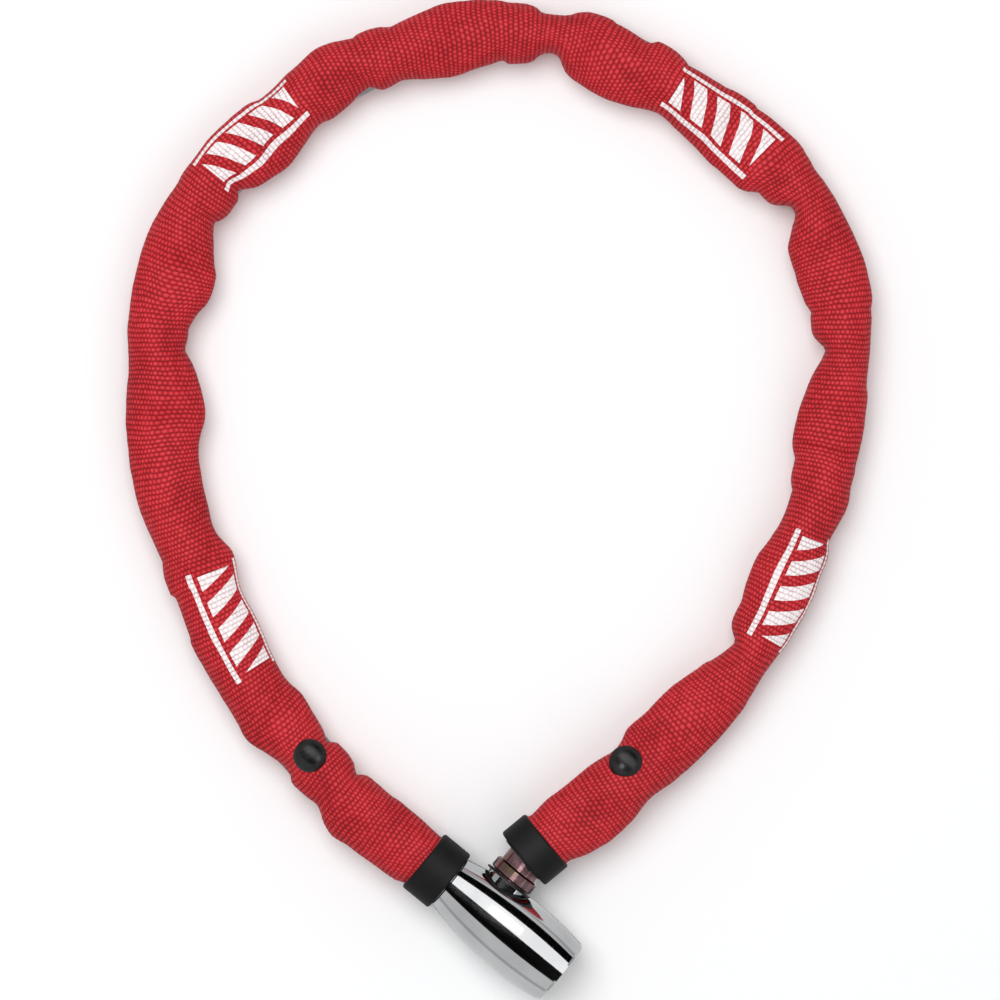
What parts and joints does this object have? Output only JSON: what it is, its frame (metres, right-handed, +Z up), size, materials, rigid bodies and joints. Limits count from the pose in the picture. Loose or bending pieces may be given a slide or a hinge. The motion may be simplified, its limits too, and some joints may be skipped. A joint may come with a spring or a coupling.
{
  "type": "chain lock",
  "caption": "closed fabric-sleeved chain lock: a chromed cylinder lock barrel with a plug-in stud, black end collars and welded steel links inside a red woven tube",
  "frame": {"origin": "on the floor, under the middle of the closed loop's bounding box", "axes": "+Z up; +Y from the lock towards the far side of the loop; +X to the right seen from above"},
  "size_m": [0.2022, 0.2692, 0.0212],
  "materials": {
    "chrome_plate": "polished chrome plate",
    "black_rubber": "matte moulded rubber",
    "black_plastic": "glossy moulded plastic",
    "bush_plastic": "matte moulded plastic",
    "chromated_steel": "turned, zinc plated and yellow chromated",
    "chain_steel": "zinc plated welded wire",
    "spring_steel": "bright steel",
    "lock_brass": "machined brass",
    "red_cloth": "woven polyester tube with white printed bands"
  },
  "bodies": {
    "barrel": {"barrel": "chrome_plate", "bore_bush": "bush_plastic", "anchor_pin": "spring_steel", "collar_lock_end": "black_rubber", "crimp_ring_lock_end": "spring_steel", "core_shell": "lock_brass", "core_set_pin": "spring_steel", "face_ring": "chrome_plate", "rivet_left": "black_plastic", "rivet_left_cap": "black_plastic", "sleeve_main": "red_cloth", "link_01": "chain_steel", "link_02": "chain_steel", "link_03": "chain_steel", "link_04": "chain_steel", "link_05": "chain_steel", "link_06": "chain_steel", "link_07": "chain_steel", "link_08": "chain_steel", "link_09": "chain_steel", "link_10": "chain_steel", "link_11": "chain_steel", "link_12": "chain_steel", "link_13": "chain_steel", "link_14": "chain_steel", "link_15": "chain_steel", "link_16": "chain_steel", "link_17": "chain_steel", "link_18": "chain_steel", "link_19": "chain_steel", "link_20": "chain_steel", "link_21": "chain_steel", "link_22": "chain_steel", "link_23": "chain_steel", "link_24": "chain_steel"},
    "key_plug": {"key_plug": "lock_brass", "plug_cam": "spring_steel", "cam_screw": "spring_steel", "wafers": "lock_brass", "wafer_springs": "spring_steel"},
    "stud": {"stud": "chromated_steel", "stud_cross_pin": "spring_steel", "stud_ferrule": "bush_plastic", "collar_stud_end": "black_rubber", "crimp_ring_stud_end": "spring_steel", "sleeve_end": "red_cloth", "link_29": "chain_steel"},
    "link_25": {"link_25": "chain_steel"},
    "link_26": {"link_26": "chain_steel"},
    "link_27": {"link_27": "chain_steel"},
    "link_28": {"link_28": "chain_steel", "rivet_right": "black_plastic", "rivet_right_cap": "black_plastic"}
  },
  "joints": [
    {"name": "key_turn", "type": "hinge", "parent": "barrel", "child": "key_plug", "pos_m": [0.00592, -0.11887, 0.0106], "axis": [-0.7727, 0.6347, 0], "range_deg": [0, 90]},
    {"name": "stud_pull", "type": "slide", "parent": "barrel", "child": "stud", "axis": [0.6347, 0.7727, 0], "range_m": [0, 0.016], "deforming": ["sleeve_end"]},
    {"name": "link_25_slide", "type": "slide", "parent": "barrel", "child": "link_25", "axis": [0.4272, 0.9042, 0], "range_m": [0, 0.00197]},
    {"name": "link_26_slide", "type": "slide", "parent": "barrel", "child": "link_26", "axis": [0.4272, 0.9042, 0], "range_m": [0, 0.00495]},
    {"name": "link_27_slide", "type": "slide", "parent": "barrel", "child": "link_27", "axis": [0.5456, 0.838, 0], "range_m": [0, 0.00876]},
    {"name": "link_28_slide", "type": "slide", "parent": "barrel", "child": "link_28", "axis": [0.5893, 0.8079, 0], "range_m": [0, 0.01263]}
  ],
  "couplings": [
    {"joint": "link_25_slide", "follows": "stud_pull", "ratio": 0.1234},
    {"joint": "link_26_slide", "follows": "stud_pull", "ratio": 0.3093},
    {"joint": "link_27_slide", "follows": "stud_pull", "ratio": 0.5472},
    {"joint": "link_28_slide", "follows": "stud_pull", "ratio": 0.7891}
  ]
}
